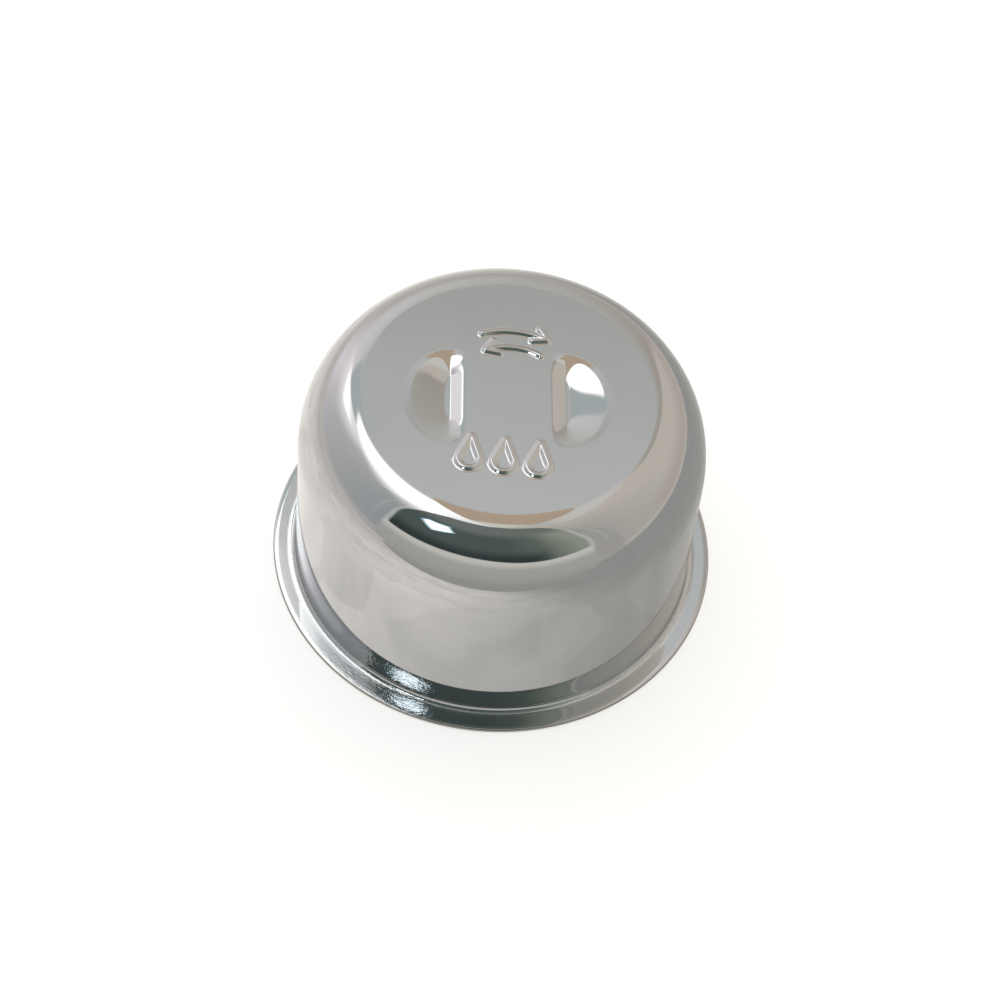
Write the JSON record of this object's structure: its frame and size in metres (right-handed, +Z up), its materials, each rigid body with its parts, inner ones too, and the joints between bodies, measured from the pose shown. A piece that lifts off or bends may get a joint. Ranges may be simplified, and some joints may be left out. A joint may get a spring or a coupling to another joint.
{
  "type": "crankcase breather filter",
  "caption": "Twist-on vented oil filler cap: brimmed chrome dome with finger pockets over a wire-mesh breather element, slotted neck socket and rubber seal.",
  "frame": {"origin": "centre of the brim's flat underside, on the cap's axis", "axes": "+Z up along the cap's axis, out of the crown; the grip bar between the finger pockets runs nearly along Y"},
  "size_m": [0.078, 0.078, 0.0425],
  "materials": {
    "chrome_shell": "bright chromium plate with fine wiping scratches",
    "zinc_plate": "dull zinc-plated pressed steel, slightly yellowed by oil",
    "wire_gauze": "fine plain-woven steel wire",
    "rivet_steel": "plated steel rivets",
    "gasket_rubber": "black oil-resistant rubber",
    "spring_steel": "blued spring steel",
    "fibre": "red-brown pressed fibre washer",
    "knitted_wire": "knitted steel wire, oiled"
  },
  "bodies": {
    "root": {"outer_shell": "chrome_shell", "base_plate": "zinc_plate", "inlet_gauze": "wire_gauze", "gauze_ring": "zinc_plate", "neck_socket": "zinc_plate", "socket_rivets": "rivet_steel", "filler_gasket": "gasket_rubber", "gasket_washer": "zinc_plate", "spring_washer": "spring_steel", "splash_baffle": "zinc_plate", "baffle_rivets": "rivet_steel", "stand_pipe": "zinc_plate", "basket_seal": "fibre", "filter_basket": "zinc_plate", "outer_gauze": "wire_gauze", "filter_mesh": "knitted_wire", "inner_gauze": "wire_gauze", "basket_lid": "zinc_plate", "hold_down_spring": "spring_steel", "spring_rivet": "rivet_steel"}
  },
  "joints": []
}
